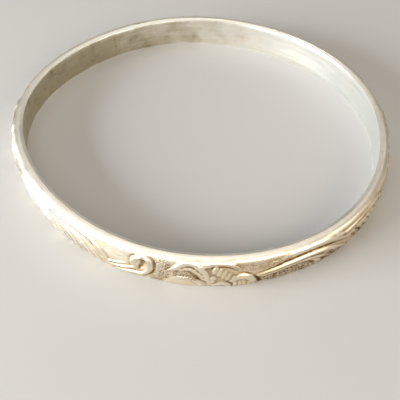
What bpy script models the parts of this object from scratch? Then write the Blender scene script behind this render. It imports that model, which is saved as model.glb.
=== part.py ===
"""A rigid silver bangle, worn slightly out of round.

A domed outer strip, struck with a repeating scroll and leaf relief, is bent round a
flat inner strip. Hard solder closes each strip where its two ends meet, and runs
round both rims where the two strips touch.
Metres, +Z up. The bangle lies flat with its centre over the origin.
"""
import math

import bpy
import numpy as np

MM = 0.001

# The opening, inside the inner strip
OPENING_DIAMETER = 63.5 * MM
HEIGHT = 6.0 * MM

# Wear has bent the ring by a few tenths: bends per turn, how far, and where they point out
WORN_BENDS = (
    (2, 0.17 * MM, -9.0),
    (3, 0.28 * MM, 54.0),
    (4, 0.10 * MM, 7.0),
    (5, 0.14 * MM, 33.0),
)
CENTRE_SHIFT = (0.40 * MM, 0.05 * MM)

# Sheet and solder thicknesses
LINER_SHEET = 0.50 * MM
SHELL_SHEET = 0.45 * MM
RIM_SOLDER = 0.08 * MM
SOLDER_FIT = 0.02 * MM
RIM_SOLDER_DEPTH = 0.43 * MM

# The dome of the outer strip: flat rim, round shoulder, then a low bulge
RIM_FLAT = 0.30 * MM
SHOULDER = 0.90 * MM
DOME_BULGE = 0.25 * MM
SHOULDER_STEPS = 3
DOME_STEPS = 5

# Where each strip's ends meet, and the width of solder between them
SHELL_SEAM_DEGREES = 117.0
LINER_SEAM_DEGREES = -80.0
SEAM_WIDTH = 0.30 * MM

# The struck relief, broadly: one repeat's swellings, by their centre and half width in degrees
REPEATS = 4
FIRST_REPEAT_DEGREES = -104.0
SWELLINGS = {
    "scroll": (0.0, 4.5),
    "leaf_arch": (12.0, 5.5),
    "fan": (20.5, 5.5),
    "petal": (26.5, 4.0),
    "long_leaf": (42.0, 12.0),
    "short_leaf": (60.0, 6.5),
    "tail_leaf": (74.0, 7.0),
}
SWELLING_RISE = 0.28 * MM
RELIEF_TOP = 0.88
RELIEF_BOTTOM = 0.06
RELIEF_EDGE = 0.25

RING_STEPS = 180
MERGE = 0.001 * MM

SILVER = (0.80, 0.77, 0.70, 1.0)
SOLDER = (0.76, 0.73, 0.66, 1.0)

MEAN_RADIUS = OPENING_DIAMETER / 2
LINER_OUTER = MEAN_RADIUS + LINER_SHEET
SHELL_INNER = LINER_OUTER + RIM_SOLDER + 2 * SOLDER_FIT
FULL_TURN = 2 * math.pi


def start_clean():
    """Empties the scene and returns collections for the parts."""
    for item in list(bpy.data.objects):
        bpy.data.objects.remove(item, do_unlink=True)
    parts = bpy.data.collections.new("bangle_bracelet")
    bpy.context.scene.collection.children.link(parts)
    return parts


def metal(name, color, roughness):
    """One polished metal."""
    made = bpy.data.materials.new(name)
    made.use_nodes = True
    shader = made.node_tree.nodes["Principled BSDF"]
    shader.inputs["Base Color"].default_value = color
    shader.inputs["Metallic"].default_value = 1.0
    shader.inputs["Roughness"].default_value = roughness
    return made


def shell_profile():
    """The outer strip's section, from the top rim's inner edge down to the bottom one."""
    edge = SHELL_INNER + RIM_FLAT
    points = [(SHELL_INNER, HEIGHT), (edge, HEIGHT)]
    for step in range(1, SHOULDER_STEPS + 1):
        turn = 0.5 * math.pi * step / SHOULDER_STEPS
        points.append((edge + SHOULDER * math.sin(turn),
                       HEIGHT - SHOULDER * (1 - math.cos(turn))))
    half = HEIGHT / 2 - SHOULDER
    for step in range(1, DOME_STEPS):
        across = 1 - 2 * step / DOME_STEPS
        points.append((edge + SHOULDER + DOME_BULGE * (1 - across ** 2),
                       HEIGHT / 2 + half * across))
    points += [(r, HEIGHT - z) for r, z in reversed(points[:2 + SHOULDER_STEPS])]
    return points


def relief(angle, level):
    """How far the struck swellings stand out, round the strip and up its height (0 to 1)."""
    edge = np.minimum(level - RELIEF_BOTTOM, RELIEF_TOP - level) / RELIEF_EDGE
    band = np.sin(0.5 * np.pi * np.clip(edge, 0, 1)) ** 2
    repeat = 360.0 / REPEATS
    rise = np.zeros_like(angle)
    for centre, half_width in SWELLINGS.values():
        away = np.degrees(angle) - FIRST_REPEAT_DEGREES - centre
        away = (away + repeat / 2) % repeat - repeat / 2
        bump = np.cos(0.5 * np.pi * np.clip(away / half_width, -1, 1)) ** 2
        rise = np.maximum(rise, bump)
    return SWELLING_RISE * band * rise


def ring(name, profile, thickness, start_degrees, sweep, steps, material, parts, struck=False):
    """A strip with this section swept round the ring, its sheet laid inside the section."""
    mesh = bpy.data.meshes.new(name)
    begin = math.radians(start_degrees)
    mesh.from_pydata([(r * math.cos(begin), r * math.sin(begin), z) for r, z in profile],
                     [(i, i + 1) for i in range(len(profile) - 1)], [])
    made = bpy.data.objects.new(name, mesh)
    parts.objects.link(made)
    turned = made.modifiers.new("round_the_ring", "SCREW")
    turned.axis = "Z"
    turned.angle = sweep
    turned.steps = turned.render_steps = steps
    turned.use_merge_vertices = True
    turned.merge_threshold = MERGE
    turned.use_smooth_shade = True
    swept = bpy.data.meshes.new_from_object(made.evaluated_get(bpy.context.evaluated_depsgraph_get()))
    made.modifiers.remove(turned)
    made.data = swept
    bpy.data.meshes.remove(mesh)
    swept.name = name
    bend(swept, struck)
    sheet = made.modifiers.new("sheet", "SOLIDIFY")
    sheet.thickness = thickness
    sheet.offset = -1.0
    sheet.use_even_offset = True
    swept.materials.clear()
    swept.materials.append(material)
    return made


def bend(mesh, struck):
    """Adds the struck relief, then the worn ring's small bends, and centres the result."""
    flat = np.empty(3 * len(mesh.vertices))
    mesh.vertices.foreach_get("co", flat)
    points = flat.reshape(-1, 3)
    radius = np.hypot(points[:, 0], points[:, 1])
    angle = np.arctan2(points[:, 1], points[:, 0])
    outwards = sum(amount * np.cos(times * (angle - math.radians(towards)))
                   for times, amount, towards in WORN_BENDS)
    if struck:
        outwards = outwards + relief(angle, points[:, 2] / HEIGHT)
    points[:, 0] += outwards * np.cos(angle) + CENTRE_SHIFT[0]
    points[:, 1] += outwards * np.sin(angle) + CENTRE_SHIFT[1]
    mesh.vertices.foreach_set("co", points.ravel())
    mesh.update()


def build():
    parts = start_clean()
    silver_out = metal("struck_silver", SILVER, 0.30)
    silver_in = metal("liner_silver", SILVER, 0.26)
    solders = {name: metal(name, SOLDER, 0.34) for name in (
        "upper_rim_silver_solder", "lower_rim_silver_solder",
        "shell_seam_silver_solder", "liner_seam_silver_solder")}

    section = shell_profile()
    liner_line = [(LINER_OUTER, HEIGHT), (LINER_OUTER, 0.0)]
    solder_outside = LINER_OUTER + SOLDER_FIT + RIM_SOLDER

    shell_gap = SEAM_WIDTH / SHELL_INNER
    liner_gap = SEAM_WIDTH / MEAN_RADIUS
    shell_fit = SOLDER_FIT / SHELL_INNER
    liner_fit = SOLDER_FIT / MEAN_RADIUS

    ring("outer_shell", section, SHELL_SHEET,
         SHELL_SEAM_DEGREES + math.degrees(shell_gap / 2), FULL_TURN - shell_gap,
         RING_STEPS, silver_out, parts, struck=True)
    ring("shell_seam_solder", section, SHELL_SHEET,
         SHELL_SEAM_DEGREES - math.degrees(shell_gap / 2 - shell_fit), shell_gap - 2 * shell_fit,
         2, solders["shell_seam_silver_solder"], parts, struck=True)
    ring("inner_liner", liner_line, LINER_SHEET,
         LINER_SEAM_DEGREES + math.degrees(liner_gap / 2), FULL_TURN - liner_gap,
         RING_STEPS, silver_in, parts)
    ring("liner_seam_solder", liner_line, LINER_SHEET,
         LINER_SEAM_DEGREES - math.degrees(liner_gap / 2 - liner_fit), liner_gap - 2 * liner_fit,
         2, solders["liner_seam_silver_solder"], parts)
    ring("upper_rim_solder", [(solder_outside, HEIGHT), (solder_outside, HEIGHT - RIM_SOLDER_DEPTH)],
         RIM_SOLDER, 0.0, FULL_TURN, RING_STEPS, solders["upper_rim_silver_solder"], parts)
    ring("lower_rim_solder", [(solder_outside, RIM_SOLDER_DEPTH), (solder_outside, 0.0)],
         RIM_SOLDER, 0.0, FULL_TURN, RING_STEPS, solders["lower_rim_silver_solder"], parts)


build()
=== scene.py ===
"""Looks for a rigid silver bangle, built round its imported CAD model.

The struck outer strip is rebuilt as a fine height field: a scroll, a leaf arch, a fan, a petal
and a long fluted leaf, repeated round the ring as the die repeats them. Lengths in the
relief are in millimetres: "along" runs round the outside of the strip to the right, and "down"
runs down the strip's section from the top rim's outer edge.
"""
import math

import bpy
import numpy as np
from mathutils import Matrix, Vector


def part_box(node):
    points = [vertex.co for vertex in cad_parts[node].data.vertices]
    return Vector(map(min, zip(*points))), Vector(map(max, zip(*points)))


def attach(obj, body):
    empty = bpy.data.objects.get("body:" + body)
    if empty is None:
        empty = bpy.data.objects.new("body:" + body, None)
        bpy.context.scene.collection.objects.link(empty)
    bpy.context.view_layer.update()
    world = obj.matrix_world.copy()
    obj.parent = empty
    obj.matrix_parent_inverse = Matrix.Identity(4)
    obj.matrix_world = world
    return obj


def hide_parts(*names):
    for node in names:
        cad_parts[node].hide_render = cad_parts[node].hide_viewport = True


MM = 0.001
TURN = 2 * math.pi

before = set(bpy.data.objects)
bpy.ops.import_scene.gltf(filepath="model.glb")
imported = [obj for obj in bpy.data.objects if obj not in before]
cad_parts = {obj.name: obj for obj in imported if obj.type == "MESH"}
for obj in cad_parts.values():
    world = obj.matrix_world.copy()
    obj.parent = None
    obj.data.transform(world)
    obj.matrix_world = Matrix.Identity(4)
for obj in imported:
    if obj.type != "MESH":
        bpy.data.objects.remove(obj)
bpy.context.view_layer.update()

# ---------------------------------------------------------------- sizes, in millimetres
# The height is read from the frame. The others repeat the CAD's own numbers, except the
# foot's shoulder, which is tighter than the CAD's.
liner_low, liner_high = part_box("inner_liner")
HEIGHT = (liner_high.z - liner_low.z) / MM
LINER_SHEET = 0.50
OPENING_RADIUS = 31.75
LINER_OUTER = OPENING_RADIUS + LINER_SHEET
SHELL_SHEET = 0.45
SOLDER_LINE = 0.12
SHELL_INNER = LINER_OUTER + SOLDER_LINE
RIM_FLAT = 0.30
SHOULDER = 0.90
FOOT_SHOULDER = 0.50
DOME_BULGE = 0.25
RIM_SOLDER_DEPTH = 0.43

SHELL_SEAM = math.radians(117.0)
LINER_SEAM = math.radians(-80.0)
SEAM_WIDTH = 0.30

# The ring's small worn bends, as in the CAD: bends per turn, how far, where they point out
WORN_BENDS = ((2, 0.17, -9.0), (3, 0.28, 54.0), (4, 0.10, 7.0), (5, 0.14, 33.0))
CENTRE_SHIFT = (0.40, 0.05)

# The angles round the ring where the outside and the inside are painted darkest: partly tarnish,
# partly painted shade and dark reflection, with painted light on the opposite sides.
DARKEST_OUTSIDE = math.radians(-38.0)
DARKEST_INSIDE = math.radians(178.0)

# ---------------------------------------------------------------- the relief's repeat
REPEATS = 4
COLUMNS_PER_REPEAT = 328
COLUMNS = REPEATS * COLUMNS_PER_REPEAT
FACE_RADIUS = SHELL_INNER + RIM_FLAT + SHOULDER + DOME_BULGE
REPEAT_LENGTH = TURN * FACE_RADIUS / REPEATS
FIRST_SCROLL = math.radians(-104.0)

RIM_ROWS = 3
SHOULDER_ROWS = 7
FACE_ROWS = 44
SMOOTH_COLUMNS = 720

# How much of the struck height wear has left.
WEAR = 0.80

# The relief starts a little below the rim, is full further down, and ends above the foot
RELIEF_START = 0.15
RELIEF_RUN = 1.4
RELIEF_CURVE = 0.8
FOOT_FADE = 0.45

# Rounding of the struck edges, and of the broad surface that the recesses are measured from
EDGE_PASSES = 2
BROAD_PASSES = 14
RECESS_DEPTH = 0.26
MATTE_SINK = 0.09
STROKE_TAPER = 0.35

# The relief dies away towards the shell's seam
SEAM_BARE = 0.3
SEAM_RUN = 1.2

# Tarnish at the rim, and how far down the face it is full
RIM_PATINA = 0.3
PATINA_RUN = 1.6

# The liner's worn edge, the square edges, and the small steps between the joined strips
WORN_BEVEL = 0.11
SQUARE_BEVEL = 0.01
BEVEL_STEPS = 3
INSIDE_ROWS = 12
LINER_WAVE = 0.012
SEAM_SET_BACK = 0.01
SOLDER_BELOW_RIM = 0.004
INSIDE_REACH = 0.02
INSIDE_TOP = 0.2

SHARP_EDGE = math.radians(60)
PITS_PER_MM = 3.6


# ---------------------------------------------------------------- curves and strokes
def through(points, steps=7):
    """A smooth curve through a few given points (Catmull-Rom)."""
    p = np.array(points, float)
    ends = np.vstack([2 * p[0] - p[1], p, 2 * p[-1] - p[-2]])
    t = np.linspace(0, 1, steps, endpoint=False)[:, None]
    spans = [0.5 * (2 * b + (c - a) * t + (2 * a - 5 * b + 4 * c - d) * t ** 2
                    + (3 * b - a - 3 * c + d) * t ** 3)
             for a, b, c, d in zip(ends, ends[1:], ends[2:], ends[3:])]
    return np.vstack(spans + [p[-1:]])


def nearest(curve, along, down):
    """Distance from every grid point to the curve, and how far along the curve that is (0 to 1)."""
    best = np.full(along.shape, 1e9)
    place = np.zeros(along.shape)
    lengths = np.hypot(*np.diff(curve, axis=0).T)
    reached = np.concatenate([[0], np.cumsum(lengths)])
    for (x, y), (dx, dy), length, start in zip(curve, np.diff(curve, axis=0), lengths, reached):
        t = np.clip(((along - x) * dx + (down - y) * dy) / length ** 2, 0, 1)
        gap = np.hypot(along - x - t * dx, down - y - t * dy)
        closer = gap < best
        best = np.where(closer, gap, best)
        place = np.where(closer, (start + t * length) / reached[-1], place)
    return best, place


class Relief:
    """The height of the struck face over one repeat, which wraps round to the next."""

    def __init__(self, along, down):
        self.along, self.down = along, down
        self.height = np.zeros(along.shape)
        self.matting = np.zeros(along.shape)

    def windows(self):
        """The repeat's own coordinates, and those seen from the repeats on each side."""
        return [self.along + shift * REPEAT_LENGTH for shift in (-1, 0, 1)]

    def stroke(self, points, width, taper):
        """How strongly a tapering stroke covers each grid point, 1 on its crest."""
        curve = through(points)
        cover = np.zeros(self.along.shape)
        for along in self.windows():
            near = (along > curve[:, 0].min() - width) & (along < curve[:, 0].max() + width)
            if near.any():
                gap, place = nearest(curve, along[near], self.down[near])
                start, end = taper
                thick = np.minimum(1, start + (1 - start) * place / STROKE_TAPER)
                thick = np.minimum(thick, end + (1 - end) * (1 - place) / STROKE_TAPER)
                half = 0.5 * width * np.sqrt(np.clip(thick, 0.02, 1))
                across = np.clip(1 - (gap / half) ** 2, 0, 1)
                cover[near] = np.maximum(cover[near], across * np.sqrt(thick))
        return cover

    def ridge(self, points, width, rise, taper=(0.3, 0.15)):
        """A rounded raised line."""
        cover = self.stroke(points, width, taper)
        self.height = np.maximum(self.height, np.where(cover > 0, rise * cover ** 0.75, -9))

    def swell(self, points, width, rise, taper=(0.3, 0.3)):
        """A broad soft rise that what is on it rides over."""
        self.height += rise * self.stroke(points, width, taper) ** 1.5

    def groove(self, points, width, depth, taper=(0.3, 0.15)):
        """A cut line."""
        self.height -= depth * self.stroke(points, width, taper)

    def bead(self, along, down, radius, rise):
        """A small round boss, or a pit where rise is negative."""
        for x in self.windows():
            out = ((x - along) ** 2 + (self.down - down) ** 2) / radius ** 2
            dome = np.sqrt(np.clip(1 - out, 0, 1))
            if rise > 0:
                self.height = np.maximum(self.height, np.where(dome > 0, rise * dome, -9))
            else:
                self.height += rise * dome

    def matte(self, points, width, depth=1.0):
        """Ground that is stippled with a matting punch, sunk a little."""
        cover = depth * np.clip(1.6 * self.stroke(points, width, (1, 1)), 0, 1)
        self.matting = np.maximum(self.matting, cover)


def scroll(relief):
    """The hooked scroll with its deep eye, and the stems that trail from it along the bottom."""
    relief.ridge([(-5.4, 6.6), (-3.4, 6.1), (-1.6, 5.5), (0.2, 5.1), (1.15, 4.1), (1.4, 2.9),
                  (0.95, 1.9), (0.0, 1.5), (-0.95, 1.95), (-1.35, 2.8), (-1.1, 3.5)],
                 0.86, 0.40, (0.1, 0.6))
    relief.ridge([(-5.6, 5.7), (-4.2, 5.3), (-2.6, 4.7), (-1.3, 4.2), (-0.6, 3.9)], 0.70, 0.34)
    relief.ridge([(-7.0, 4.9), (-5.2, 4.7), (-3.6, 4.2), (-2.3, 3.6)], 0.58, 0.26)
    relief.ridge([(-6.6, 7.0), (-4.4, 6.9), (-2.2, 6.5), (-0.6, 6.1)], 0.60, 0.30)
    relief.groove([(-0.1, 0.65), (0.9, 0.8), (1.85, 1.6), (2.15, 2.8), (1.8, 4.2), (0.8, 5.4),
                   (0.1, 6.6)], 0.60, 0.28)
    relief.groove([(-2.05, 2.9), (-1.75, 1.9), (-1.0, 1.3), (-0.3, 1.05)], 0.44, 0.18)
    relief.groove([(0.25, 2.1), (0.15, 3.0), (-0.35, 4.1)], 1.05, 0.42, (0.8, 0.3))


def leaf_arch(relief):
    """A leaf that arches over a stippled hollow edged with beads."""
    relief.swell([(4.4, 5.6), (6.6, 5.2), (8.6, 5.8)], 2.8, 0.20)
    relief.ridge([(4.3, 3.1), (5.2, 2.2), (6.2, 1.35), (7.3, 0.95), (8.3, 1.25), (9.2, 2.1),
                  (9.9, 3.1), (10.1, 4.3)], 1.05, 0.42, (0.1, 0.3))
    for along, down in ((6.1, 2.45), (6.8, 2.15), (7.5, 2.15), (8.15, 2.45), (8.7, 2.95),
                        (9.15, 3.5)):
        relief.bead(along, down, 0.33, 0.24)
    relief.groove([(7.6, 3.2), (8.8, 4.3), (9.8, 5.1), (10.1, 6.3)], 0.42, 0.20)
    relief.ridge([(4.9, 4.7), (6.4, 4.1), (7.8, 4.4), (8.9, 5.5), (9.3, 6.7)], 0.60, 0.26)


def fan(relief):
    """A lobed fan with slanting ribs under its rim."""
    relief.ridge([(9.5, 1.6), (10.2, 1.0), (11.3, 0.75), (12.6, 0.85), (13.8, 1.3), (14.8, 2.1)],
                 0.90, 0.42, (0.5, 0.2))
    for number in range(3):
        along = 9.5 + 0.55 * number
        relief.ridge([(along + 0.15, 0.45), (along - 0.2, 1.5)], 0.48, 0.40, (0.6, 0.4))
    relief.groove([(10.4, 2.1), (11.2, 1.5), (12.5, 1.4), (13.6, 1.75), (14.6, 2.3)], 0.34, 0.16)
    for number in range(5):
        across, fall = 11.25 + 0.66 * number, 2.1 + 0.52 * number
        relief.ridge([(across + 0.18, fall - 0.62), (across, fall), (across - 0.14, fall + 0.62)],
                     0.62, 0.40, (0.6, 0.5))
    relief.bead(10.95, 3.95, 0.48, 0.34)
    relief.bead(10.75, 4.85, 0.42, 0.28)
    relief.ridge([(11.2, 5.9), (12.3, 5.3), (13.3, 5.8), (13.7, 6.7)], 0.95, 0.34, (0.4, 0.3))


def petal(relief):
    """A full smooth petal with folds below it and a deep cut behind its tip."""
    relief.ridge([(13.9, 4.6), (14.9, 3.85), (16.2, 3.95), (17.1, 4.8), (17.5, 5.9)],
                 1.35, 0.46, (0.5, 0.35))
    for number in range(4):
        along = 14.3 + 0.72 * number
        relief.ridge([(along, 4.9), (along + 0.15, 5.8), (along + 0.1, 6.8)], 0.52, 0.30)
    relief.groove([(14.6, 2.8), (15.6, 2.9), (16.7, 3.3)], 0.38, 0.18)
    relief.groove([(17.2, 3.9), (17.8, 4.8), (18.3, 5.8), (18.5, 6.9)], 0.52, 0.28)


def long_leaf(relief):
    """The long leaf: parallel flutes that rise, run level and fall to the bottom edge."""
    relief.swell([(20.6, 1.9), (23.0, 1.3), (26.0, 1.0), (29.0, 1.2), (31.5, 1.9), (34.0, 2.9)],
                 1.35, 0.30)
    relief.ridge([(19.9, 2.5), (19.9, 1.95), (20.4, 1.7), (20.8, 2.0), (20.5, 2.35)],
                 0.36, 0.24, (0.7, 0.7))
    relief.groove([(17.6, 3.45), (20.0, 2.95), (22.5, 2.3), (25.0, 1.95), (28.0, 2.0),
                   (30.6, 2.45), (33.0, 3.3), (35.4, 4.5), (37.0, 6.0)], 0.46, 0.22)
    relief.ridge([(17.8, 3.95), (20.2, 3.4), (22.6, 2.85), (25.0, 2.55), (27.6, 2.65),
                  (30.0, 3.15), (32.2, 4.1), (34.2, 5.3), (35.4, 6.6)], 0.86, 0.42)
    relief.ridge([(18.6, 4.5), (20.8, 4.0), (23.0, 3.5), (25.2, 3.35), (27.2, 3.6), (29.2, 4.4),
                  (31.0, 5.6), (32.0, 6.7)], 0.50, 0.28)
    relief.groove([(26.4, 4.1), (27.3, 5.0), (27.9, 6.0), (28.2, 7.0)], 0.46, 0.24)
    relief.ridge([(27.6, 4.4), (28.7, 5.2), (29.5, 6.3)], 0.62, 0.32)
    for number in range(13):
        along = 18.8 + 0.60 * number + 0.13 * math.sin(2.4 * number)
        start = 4.7 - 0.05 * number + 0.25 * math.sin(1.7 * number)
        lean = 0.45 + 0.2 * math.sin(3.1 * number)
        relief.ridge([(along, start), (along + lean, start + 0.95)], 0.34, 0.14, (0.2, 0.2))
        relief.ridge([(along + lean, start + 1.25), (along + lean + 0.2, 6.8)], 0.34, 0.12)
    for number in range(60):
        along, down = 18.6 + 9.4 * (0.618 * number % 1), 4.7 + 2.1 * (0.755 * number % 1)
        relief.bead(along, down, 0.21 + 0.07 * math.sin(5 * number), -0.13)


def short_leaf(relief):
    """A shorter leaf over the long one's fall, with a notch cut before it."""
    relief.ridge([(31.6, 1.3), (33.6, 1.9), (36.0, 1.75), (38.6, 1.55), (40.6, 1.75)], 0.80, 0.34)
    relief.groove([(33.2, 2.2), (34.2, 2.9)], 0.62, 0.26, (0.5, 0.4))
    relief.groove([(34.4, 2.75), (36.4, 2.6), (38.4, 2.3), (40.2, 2.5)], 0.40, 0.18)
    relief.ridge([(31.0, 3.9), (32.4, 5.2), (33.4, 6.6)], 0.44, 0.20)


def tail_leaf(relief):
    """Slanting flutes that fall to the bottom edge and lead into the next scroll's stems."""
    relief.swell([(37.0, 3.2), (41.0, 3.6), (45.0, 4.6)], 2.6, 0.16)
    for number in range(6):
        along = 35.6 + 1.45 * number
        relief.ridge([(along, 3.0 - 0.1 * number), (along + 1.5, 4.3), (along + 2.9, 6.6)],
                     0.74, 0.30, (0.3, 0.3))
    relief.ridge([(40.2, 1.5), (42.6, 1.6), (44.8, 2.5), (46.8, 4.2), (47.8, 6.4)], 1.05, 0.38)
    relief.groove([(39.6, 2.9), (41.4, 4.4), (42.9, 6.4)], 0.50, 0.26)
    relief.groove([(43.9, 1.9), (44.5, 2.6), (45.1, 3.5)], 0.75, 0.34, (0.5, 0.4))


def ground(relief):
    """The stippled ground between the ornaments."""
    relief.matte([(2.9, 1.2), (3.6, 2.4), (3.4, 4.0), (2.4, 5.6)], 2.6)
    relief.matte([(5.6, 3.6), (7.0, 3.3), (8.3, 4.0)], 2.0)
    relief.matte([(14.9, 1.7), (17.4, 2.0), (20.0, 1.7), (22.4, 1.3)], 2.2, 0.5)
    relief.matte([(18.6, 5.9), (21.5, 5.2), (24.5, 4.7), (26.2, 5.4)], 3.0)
    relief.matte([(29.4, 5.6), (31.4, 5.2), (34.4, 6.2)], 2.2)
    relief.matte([(36.6, 4.0), (39.4, 5.0), (42.6, 5.6)], 2.4, 0.8)
    relief.matte([(45.6, 1.8), (48.4, 2.2), (50.4, 2.4)], 1.5, 0.35)
    relief.height -= MATTE_SINK * relief.matting


def soften(height, passes):
    """Rounds the struck edges, wrapping round the ring but not over the rims."""
    for _ in range(passes):
        height = 0.5 * height + 0.25 * (np.roll(height, 1, 1) + np.roll(height, -1, 1))
        padded = np.pad(height, ((1, 1), (0, 0)), mode="edge")
        height = 0.5 * height + 0.25 * (padded[:-2] + padded[2:])
    return height


def struck_repeat(down_rows):
    """Height and matting over one repeat, on this script's grid."""
    column = np.arange(COLUMNS_PER_REPEAT) * REPEAT_LENGTH / COLUMNS_PER_REPEAT
    relief = Relief(*np.meshgrid(column, down_rows))
    for ornament in (long_leaf, short_leaf, tail_leaf, scroll, leaf_arch, fan, petal, ground):
        ornament(relief)
    return WEAR * relief.height, relief.matting


# ---------------------------------------------------------------- sections
def outer_section():
    """The shell's outside, from the top rim's inner edge down to the bottom rim's: (r, z)."""
    edge = SHELL_INNER + RIM_FLAT
    rim = [(SHELL_INNER + RIM_FLAT * k / RIM_ROWS, HEIGHT) for k in range(RIM_ROWS)]
    arc = [(edge + SHOULDER * math.sin(a), HEIGHT - SHOULDER * (1 - math.cos(a)))
           for a in np.linspace(0, math.pi / 2, SHOULDER_ROWS, endpoint=False)]
    half = (HEIGHT - SHOULDER - FOOT_SHOULDER) / 2
    middle = FOOT_SHOULDER + half
    face = [(edge + SHOULDER + DOME_BULGE * (1 - across ** 2), middle + half * across)
            for across in np.linspace(1, -1, FACE_ROWS + 1)]
    foot = [(edge + SHOULDER - FOOT_SHOULDER * (1 - math.cos(a)), FOOT_SHOULDER * (1 - math.sin(a)))
            for a in np.linspace(0, math.pi / 2, SHOULDER_ROWS)[1:]]
    low = [(foot[-1][0] + (SHELL_INNER - foot[-1][0]) * k / RIM_ROWS, 0)
           for k in range(1, RIM_ROWS + 1)]
    return np.array(rim + arc + face + foot + low)


def outward(section):
    """Unit normals of a section, pointing out of the metal."""
    run = np.gradient(section, axis=0)
    normal = np.stack([-run[:, 1], run[:, 0]], 1)
    return normal / np.linalg.norm(normal, axis=1)[:, None]


def run_length(section):
    """Distance down the section from its first point."""
    return np.concatenate([[0], np.cumsum(np.hypot(*np.diff(section, axis=0).T))])


def inner_section():
    """The shell's hidden inside, from the bottom rim back up to the top."""
    inside = SHELL_INNER + RIM_FLAT + SHOULDER - SHELL_SHEET
    low = [(SHELL_INNER, SHELL_SHEET), (inside - SHELL_SHEET, SHELL_SHEET),
           (inside, SHOULDER + SHELL_SHEET), (inside + DOME_BULGE * 0.8, HEIGHT / 2)]
    return np.array(low + [(r, HEIGHT - z) for r, z in reversed(low[:-1])])


# ---------------------------------------------------------------- meshes
def on_ring(radius, angle, level):
    """Points of the slightly bent ring, in metres."""
    bent = radius + sum(amount * np.cos(times * (angle - math.radians(towards)))
                        for times, amount, towards in WORN_BENDS)
    x = bent * np.cos(angle) + CENTRE_SHIFT[0]
    y = bent * np.sin(angle) + CENTRE_SHIFT[1]
    return MM * np.stack([x, y, np.broadcast_to(level, x.shape)], -1)


def grid_mesh(name, points, closed_round):
    """A tube of points[around the section, along the ring]; an open one gets end caps."""
    rows, columns = points.shape[:2]
    index = np.arange(rows * columns).reshape(rows, columns)
    down = np.roll(index, -1, 0)
    if closed_round:
        here, there = index, down
        right, far = np.roll(index, -1, 1), np.roll(down, -1, 1)
    else:
        here, there = index[:, :-1], down[:, :-1]
        right, far = index[:, 1:], down[:, 1:]
    quads = np.stack([here, there, far, right], -1).reshape(-1, 4).tolist()
    caps = [] if closed_round else [index[::-1, 0].tolist(), index[:, -1].tolist()]
    mesh = bpy.data.meshes.new(name)
    mesh.from_pydata(points.reshape(-1, 3).tolist(), [], quads + caps)
    mesh.shade_smooth()
    mesh.set_sharp_from_angle(angle=SHARP_EDGE)
    return mesh


def give(mesh, name, values):
    """Stores one number per point, for the materials."""
    layer = mesh.attributes.new(name, "FLOAT", "POINT")
    layer.data.foreach_set("value", np.ascontiguousarray(values, np.float32).ravel())


def tarnish_and_shade_round_ring(angle, darkest):
    """How dark the metal is painted round the ring, 1 at the darkest angle, 0 opposite: partly
    tarnish, partly painted shade and dark reflection, with painted light on the opposite side.
    """
    return 0.5 + 0.5 * np.cos(angle - darkest)


def place(mesh, node, material):
    """Shows this mesh in place of a CAD node, riding on the one body."""
    piece = bpy.data.objects.new("visual_" + node, mesh)
    bpy.context.scene.collection.objects.link(piece)
    mesh.materials.append(material)
    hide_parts(node)
    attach(piece, "root")
    return piece


def struck_strip(name, start, sweep, columns):
    """The outer strip over part of the ring, with its relief, recess and matting."""
    outside = outer_section()
    normal = outward(outside)
    reach = run_length(outside)
    down = reach - RIM_FLAT
    height, matting = struck_repeat(down)
    underside = SHOULDER + RIM_FLAT - FOOT_SHOULDER
    foot = reach[-1] - underside - RIM_FLAT
    fade = (np.clip((down - RELIEF_START) / RELIEF_RUN, 0, 1) ** RELIEF_CURVE
            * np.clip((foot - down) / FOOT_FADE, 0, 1))
    height = np.tile(height, (1, REPEATS))
    matting = np.tile(matting, (1, REPEATS)) * fade[:, None]
    wide = soften(height, BROAD_PASSES)
    height = soften(height, EDGE_PASSES)
    recess = np.clip(0.5 + (wide - height) * fade[:, None] / RECESS_DEPTH, 0, 1)

    angle = start + sweep * np.arange(columns) / (columns - 1)
    turn = ((angle - FIRST_SCROLL) / TURN * COLUMNS) % COLUMNS
    low = np.floor(turn).astype(int)
    part = turn - low
    at_angle = [values[:, low % COLUMNS] * (1 - part) + values[:, (low + 1) % COLUMNS] * part
                for values in (height, matting, recess)]
    from_seam = np.abs((angle - SHELL_SEAM + math.pi) % TURN - math.pi) * FACE_RADIUS
    calm = np.clip((from_seam - SEAM_BARE) / SEAM_RUN, 0, 1)
    lift = at_angle[0] * fade[:, None] * calm
    radius = outside[:, :1] + normal[:, :1] * lift
    level = np.clip(outside[:, 1:] + normal[:, 1:] * lift, 0, HEIGHT)
    outer = on_ring(radius, angle, level)
    inside = inner_section()
    inner = on_ring(inside[:, :1], angle[None], inside[:, 1:])
    mesh = grid_mesh(name, np.concatenate([outer, inner]), False)
    hidden = np.zeros(inner.shape[:2])
    for key, values in (("matting", at_angle[1]), ("recess", at_angle[2])):
        give(mesh, key, np.concatenate([values * calm, hidden]))
    # The value stored below is tarnish that grows from the worn rim down the face, times painted
    # shade that is darkest round the ring at DARKEST_OUTSIDE.
    worn = np.concatenate([RIM_PATINA + (1 - RIM_PATINA) * np.clip(down / PATINA_RUN, 0, 1),
                           np.zeros(len(inside))])
    give(mesh, "patina_and_shade", worn[:, None] * tarnish_and_shade_round_ring(angle, DARKEST_OUTSIDE))
    return mesh


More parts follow.
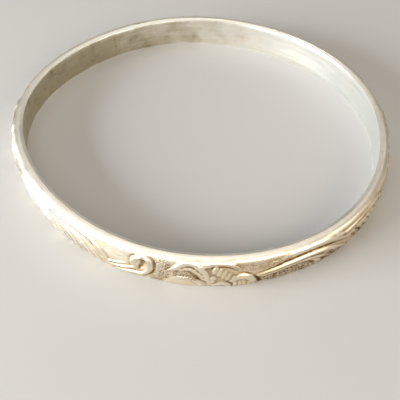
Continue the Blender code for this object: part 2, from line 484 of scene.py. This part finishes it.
def rounded_strip(name, inner, outer, low, high, bevels, start, sweep, columns, dent=0.0):
    """A flat strip bent to a ring. bevels rounds its inner and outer edges; dent waves its inside."""
    corners = [(inner, high, 1.0), (inner, low, 1.5), (outer, low, 0.0), (outer, high, 0.5)]
    middle_r, middle_z = (inner + outer) / 2, (low + high) / 2
    section = []
    for r, z, quarter in corners:
        bevel = bevels[0] if r == inner else bevels[1]
        centre = (r + math.copysign(bevel, middle_r - r), z + math.copysign(bevel, middle_z - z))
        for step in range(BEVEL_STEPS + 1):
            a = math.pi * (quarter - 0.5 + 0.5 * step / BEVEL_STEPS) + math.pi / 2
            section.append((centre[0] + bevel * math.cos(a), centre[1] + bevel * math.sin(a)))
        if r == inner and z == high:
            section += [(inner, high + (low - high) * k / INSIDE_ROWS)
                        for k in range(1, INSIDE_ROWS)]
    section = np.array(section)
    closed = sweep >= TURN
    angle = start + sweep * np.arange(columns) / (columns if closed else columns - 1)
    radius = section[:, :1] + 0 * angle
    if dent:
        facing = (section[:, :1] < inner + INSIDE_REACH).astype(float)
        level = (section[:, 1:] - low) / (high - low)
        wave = (np.sin(5 * angle + 1.1) + 0.7 * np.sin(11 * angle + 4 * level)
                + 0.5 * np.sin(23 * angle - 3 * level + 2.0))
        radius = radius + facing * dent * wave
    mesh = grid_mesh(name, on_ring(radius, angle[None], section[:, 1:]), closed)
    # On the inside the value stored below is tarnish and painted shade, darkest round the ring at
    # DARKEST_INSIDE, with painted light on the opposite side; the rest keeps the rim's tarnish.
    on_inside = (section[:, :1] < inner + INSIDE_REACH) & (section[:, 1:] < high - INSIDE_TOP)
    give(mesh, "patina_and_shade", np.where(on_inside, tarnish_and_shade_round_ring(angle, DARKEST_INSIDE), RIM_PATINA))
    return mesh


# ---------------------------------------------------------------- materials
class Nodes:
    """Short calls for building one node material."""

    def __init__(self, name):
        self.material = bpy.data.materials.new(name)
        self.material.use_nodes = True
        self.tree = self.material.node_tree
        self.shader = self.tree.nodes["Principled BSDF"]
        self.place = self.add("TexCoord").outputs["Object"]

    def add(self, kind, **settings):
        node = self.tree.nodes.new("ShaderNode" + kind)
        for key, value in settings.items():
            setattr(node, key, value)
        return node

    def link(self, source, target):
        self.tree.links.new(source, target)

    def feed(self, socket, value):
        if isinstance(value, bpy.types.NodeSocket):
            self.link(value, socket)
        else:
            socket.default_value = value

    def math(self, operation, first, second=0.0, clamp=False):
        node = self.add("Math", operation=operation, use_clamp=clamp)
        self.feed(node.inputs[0], first)
        self.feed(node.inputs[1], second)
        return node.outputs[0]

    def remap(self, value, low, high, to_low=0.0, to_high=1.0):
        node = self.add("MapRange")
        for key, number in (("From Min", low), ("From Max", high),
                            ("To Min", to_low), ("To Max", to_high)):
            node.inputs[key].default_value = number
        self.link(value, node.inputs["Value"])
        return node.outputs["Result"]

    def stored(self, name):
        return self.add("Attribute", attribute_name=name).outputs["Fac"]

    def noise(self, per_mm, detail=3.0, roughness=0.55, stretch=None):
        node = self.add("TexNoise")
        node.inputs["Scale"].default_value = per_mm / MM
        node.inputs["Detail"].default_value = detail
        node.inputs["Roughness"].default_value = roughness
        source = self.place
        if stretch:
            mapping = self.add("Mapping")
            mapping.inputs["Scale"].default_value = stretch
            self.link(source, mapping.inputs["Vector"])
            source = mapping.outputs["Vector"]
        self.link(source, node.inputs["Vector"])
        return node.outputs["Fac"]

    def mix(self, share, first, second):
        node = self.add("Mix", data_type="RGBA")
        self.feed(node.inputs["Factor"], share)
        for socket, color in ((node.inputs["A"], first), (node.inputs["B"], second)):
            self.feed(socket, color)
        return node.outputs["Result"]

    def bump(self, height, distance, strength, onto=None):
        node = self.add("Bump")
        node.inputs["Distance"].default_value = distance * MM
        node.inputs["Strength"].default_value = strength
        self.link(height, node.inputs["Height"])
        if onto:
            self.link(onto, node.inputs["Normal"])
        return node.outputs["Normal"]


BRIGHT_SILVER = (0.93, 0.895, 0.815, 1.0)
WARM_SILVER = (0.81, 0.67, 0.455, 1.0)
COOL_SILVER = (0.85, 0.87, 0.83, 1.0)
OLIVE_SILVER = (0.56, 0.50, 0.36, 1.0)
# The brown below is tarnish in the hollows, and also painted shade where the darkening by angle round
# the ring deepens it.
TARNISH_AND_SHADE_BROWN = (0.13, 0.068, 0.022, 1.0)
SOLDER_SILVER = (0.90, 0.85, 0.75, 1.0)


def struck_silver(name):
    """Aged silver: satin on the high parts, warm in the hollows, brown in the deep cuts; warmer and
    darker round one side of the ring as painted shade and warm reflection, lighter opposite as
    painted light.
    """
    n = Nodes(name)
    recess = n.stored("recess")
    matting = n.stored("matting")
    patina_and_shade = n.stored("patina_and_shade")
    blotch = n.noise(0.16, 4.0)
    # The stored patina value scales the warm hollows and adds warmth of its own: tarnish, plus
    # painted shade and painted warm reflection round the ring.
    warmth = n.math("MULTIPLY", n.remap(recess, 0.45, 0.72), n.remap(patina_and_shade, 0, 1, 0.30, 0.95))
    warmth = n.math("ADD", warmth, n.math("MULTIPLY", n.remap(blotch, 0.35, 0.65), n.remap(
        patina_and_shade, 0.2, 1, 0.1, 0.6)))
    warmth = n.math("ADD", warmth, n.remap(patina_and_shade, 0.3, 1.0, 0.0, 0.42), clamp=True)
    color = n.mix(warmth, BRIGHT_SILVER, WARM_SILVER)
    pits = n.add("TexVoronoi")
    pits.inputs["Scale"].default_value = PITS_PER_MM / MM
    n.link(n.place, pits.inputs["Vector"])
    pit = n.remap(pits.outputs["Distance"], 0.15, 0.55, 1.0, 0.0)
    stipple = n.math("MULTIPLY", pit, matting)
    dark = n.math("ADD", n.remap(recess, 0.48, 0.85), stipple)
    dark = n.math("ADD", dark, n.math("MULTIPLY", matting, 0.22))
    dark = n.math("MULTIPLY", dark, n.remap(n.noise(1.1, 3.0), 0.3, 0.6, 0.55, 1.0))
    # The same value deepens the brown: tarnish, plus painted shade round the ring.
    dark = n.math("MULTIPLY", dark, n.remap(patina_and_shade, 0.3, 0.9, 0.40, 1.2), clamp=True)
    color = n.mix(dark, color, TARNISH_AND_SHADE_BROWN)
    n.link(color, n.shader.inputs["Base Color"])
    n.shader.inputs["Metallic"].default_value = 1.0
    rough = n.math("ADD", n.remap(recess, 0.20, 0.50, 0.29, 0.43),
                   n.remap(n.noise(0.7, 5.0), 0.3, 0.7, -0.05, 0.07))
    rough = n.math("ADD", rough, n.math("MULTIPLY", dark, 0.18))
    n.link(rough, n.shader.inputs["Roughness"])
    fine = n.bump(n.noise(4.0, 4.0, 0.7), 0.03, 0.5)
    worn = n.bump(n.noise(0.9, 3.0, 0.6), 0.10, 0.5, fine)
    n.link(n.bump(n.math("SUBTRACT", 1.0, stipple), 0.09, 0.9, worn), n.shader.inputs["Normal"])
    return n.material


def polished_silver(name):
    """Worn polished silver with streaks: cool and bright round the side of the inside that faces the
    window lamp, olive and spotted round the far side; partly clean and dulled metal, partly painted
    light and painted shade.
    """
    n = Nodes(name)
    streak = n.noise(0.10, 5.0, 0.65, stretch=(1, 1, 16))
    blotch = n.noise(0.22, 5.0, 0.6)
    patina_and_shade = n.math("ADD", n.stored("patina_and_shade"), n.remap(blotch, 0.3, 0.7, -0.20, 0.20))
    patina_and_shade = n.math("ADD", patina_and_shade, n.remap(streak, 0.3, 0.7, -0.12, 0.12), clamp=True)
    # Cool where the stored value is low, which is painted light; olive where it is high, which is
    # dulled metal and painted shade. The tarnish spots below follow the same painted shade.
    color = n.mix(n.remap(patina_and_shade, 0.10, 0.45), COOL_SILVER, BRIGHT_SILVER)
    color = n.mix(n.remap(patina_and_shade, 0.40, 0.85), color, OLIVE_SILVER)
    spots = n.math("MULTIPLY", n.remap(n.noise(0.5, 5.0, 0.65), 0.52, 0.66),
                   n.remap(patina_and_shade, 0.5, 1.0), clamp=True)
    color = n.mix(n.math("MULTIPLY", spots, 0.4), color, TARNISH_AND_SHADE_BROWN)
    n.link(color, n.shader.inputs["Base Color"])
    n.shader.inputs["Metallic"].default_value = 1.0
    n.link(n.remap(streak, 0.3, 0.7, 0.30, 0.44), n.shader.inputs["Roughness"])
    fine = n.bump(n.noise(0.6, 5.0, 0.7, stretch=(1, 1, 9)), 0.015, 0.5)
    n.link(n.bump(n.noise(0.20, 3.0), 0.12, 0.6, fine), n.shader.inputs["Normal"])
    return n.material


def filed_solder(name):
    """Silver solder filed flush: a little greyer and rougher than the sheet."""
    n = Nodes(name)
    color = n.mix(n.remap(n.noise(1.5, 4.0), 0.4, 0.7, 0.0, 0.35), SOLDER_SILVER, WARM_SILVER)
    n.link(color, n.shader.inputs["Base Color"])
    n.shader.inputs["Metallic"].default_value = 1.0
    n.link(n.remap(n.noise(3.0, 4.0), 0.3, 0.7, 0.42, 0.56), n.shader.inputs["Roughness"])
    n.link(n.bump(n.noise(4.0, 4.0), 0.02, 0.4), n.shader.inputs["Normal"])
    return n.material


# ---------------------------------------------------------------- the pieces
def dress_bangle():
    """All six pieces, each in place of its CAD node."""
    struck = struck_silver("aged_and_shaded_struck_silver")
    polished = polished_silver("worn_and_shaded_polished_silver")
    solder = filed_solder("filed_silver_solder")

    gap = SEAM_WIDTH / SHELL_INNER
    place(struck_strip("struck_shell", SHELL_SEAM + gap / 2, TURN - gap, COLUMNS),
          "outer_shell", struck)
    place(struck_strip("shell_seam", SHELL_SEAM - gap / 2, gap, 4), "shell_seam_solder", solder)

    gap = SEAM_WIDTH / LINER_OUTER
    inside = LINER_OUTER - LINER_SHEET
    edges = (WORN_BEVEL, SQUARE_BEVEL)
    place(rounded_strip("liner", inside, LINER_OUTER, 0, HEIGHT, edges,
                        LINER_SEAM + gap / 2, TURN - gap, SMOOTH_COLUMNS, dent=LINER_WAVE),
          "inner_liner", polished)
    place(rounded_strip("liner_seam", inside + SEAM_SET_BACK, LINER_OUTER, 0, HEIGHT, edges,
                        LINER_SEAM - gap / 2, gap, 4), "liner_seam_solder", solder)
    top = HEIGHT - SOLDER_BELOW_RIM
    for node, low, high in (("upper_rim_solder", HEIGHT - RIM_SOLDER_DEPTH, top),
                            ("lower_rim_solder", SOLDER_BELOW_RIM, RIM_SOLDER_DEPTH)):
        place(rounded_strip(node + "_line", LINER_OUTER, SHELL_INNER, low, high,
                            (SQUARE_BEVEL, SQUARE_BEVEL), 0.0, TURN, SMOOTH_COLUMNS),
              node, solder)


# ---------------------------------------------------------------- floor, light and camera
FLOOR_REACH = 1.2
FLOOR_COLOR = (0.385, 0.379, 0.37, 1.0)
WORLD_COLOR = (1.0, 0.95, 0.88, 1.0)
WORLD_STRENGTH = 0.24

# Each lamp in metres and watts: where it is, what it faces, its size, power and color
LAMPS = {
    "window": ((-0.39, -0.19, 0.12), (0, 0, 0.01), (0.30, 0.18), 5.4, (0.94, 0.97, 1.0)),
    "overhead": ((-0.04, 0.12, 0.50), (0, 0, 0), (0.50, 0.46), 1.05, (1.0, 0.95, 0.88)),
    "front": ((0.14, -0.36, 0.28), (0, 0, 0), (0.44, 0.28), 1.4, (1.0, 0.92, 0.80)),
    "right": ((0.38, -0.16, 0.24), (0, 0, 0), (0.30, 0.26), 0.75, (1.0, 0.91, 0.76)),
}


def floor():
    """A plain pale floor; its far edge shows only in views from the sides and the back."""
    mesh = bpy.data.meshes.new("floor")
    mesh.from_pydata([(-FLOOR_REACH, -FLOOR_REACH, 0), (FLOOR_REACH, -FLOOR_REACH, 0),
                      (FLOOR_REACH, FLOOR_REACH, 0), (-FLOOR_REACH, FLOOR_REACH, 0)],
                     [], [(0, 1, 2, 3)])
    made = bpy.data.objects.new("floor", mesh)
    bpy.context.scene.collection.objects.link(made)
    pale = bpy.data.materials.new("pale_floor")
    pale.use_nodes = True
    shader = pale.node_tree.nodes["Principled BSDF"]
    shader.inputs["Base Color"].default_value = FLOOR_COLOR
    shader.inputs["Roughness"].default_value = 0.9
    shader.inputs["Specular IOR Level"].default_value = 0.1
    mesh.materials.append(pale)


def area_light(name, place_at, look_at, size, watts, color):
    """A rectangular lamp that faces a point."""
    data = bpy.data.lights.new(name, "AREA")
    data.shape = "RECTANGLE"
    data.size, data.size_y = size
    data.energy = watts
    data.color = color
    lamp = bpy.data.objects.new(name, data)
    bpy.context.scene.collection.objects.link(lamp)
    lamp.location = place_at
    lamp.rotation_euler = (Vector(look_at) - Vector(place_at)).to_track_quat("-Z", "Y").to_euler()


def lights():
    """The studio: a warm even surround and four soft lamps."""
    world = bpy.data.worlds.new("studio")
    bpy.context.scene.world = world
    world.use_nodes = True
    background = world.node_tree.nodes["Background"]
    background.inputs["Color"].default_value = WORLD_COLOR
    background.inputs["Strength"].default_value = WORLD_STRENGTH
    for name, settings in LAMPS.items():
        area_light(name, *settings)


# The camera, in millimetres: how far and how steep, the point it faces, its roll and its lens
CAMERA_DISTANCE = 120.3
CAMERA_RISE = math.radians(41.8)
AIM = (0.10, -15.6)
CAMERA_ROLL = math.radians(3.48)
LENS = 57.3


def camera():
    """Close over the front edge, turned a little so the ring's right side sits lower."""
    data = bpy.data.cameras.new("camera")
    data.lens = LENS
    data.clip_start = 0.001
    made = bpy.data.objects.new("camera", data)
    bpy.context.scene.collection.objects.link(made)
    centre = Vector((CENTRE_SHIFT[0], CENTRE_SHIFT[1], 0))
    back = Vector((0, -math.cos(CAMERA_RISE), math.sin(CAMERA_RISE))) * CAMERA_DISTANCE
    eye = (centre + back) * MM
    aim = (centre + Vector((AIM[0], AIM[1], 0))) * MM
    facing = (aim - eye).to_track_quat("-Z", "Y").to_matrix().to_4x4()
    made.matrix_world = Matrix.Translation(eye) @ facing @ Matrix.Rotation(CAMERA_ROLL, 4, "Z")
    bpy.context.scene.camera = made


dress_bangle()
floor()
lights()
camera()
bpy.context.scene.view_settings.view_transform = "Standard"
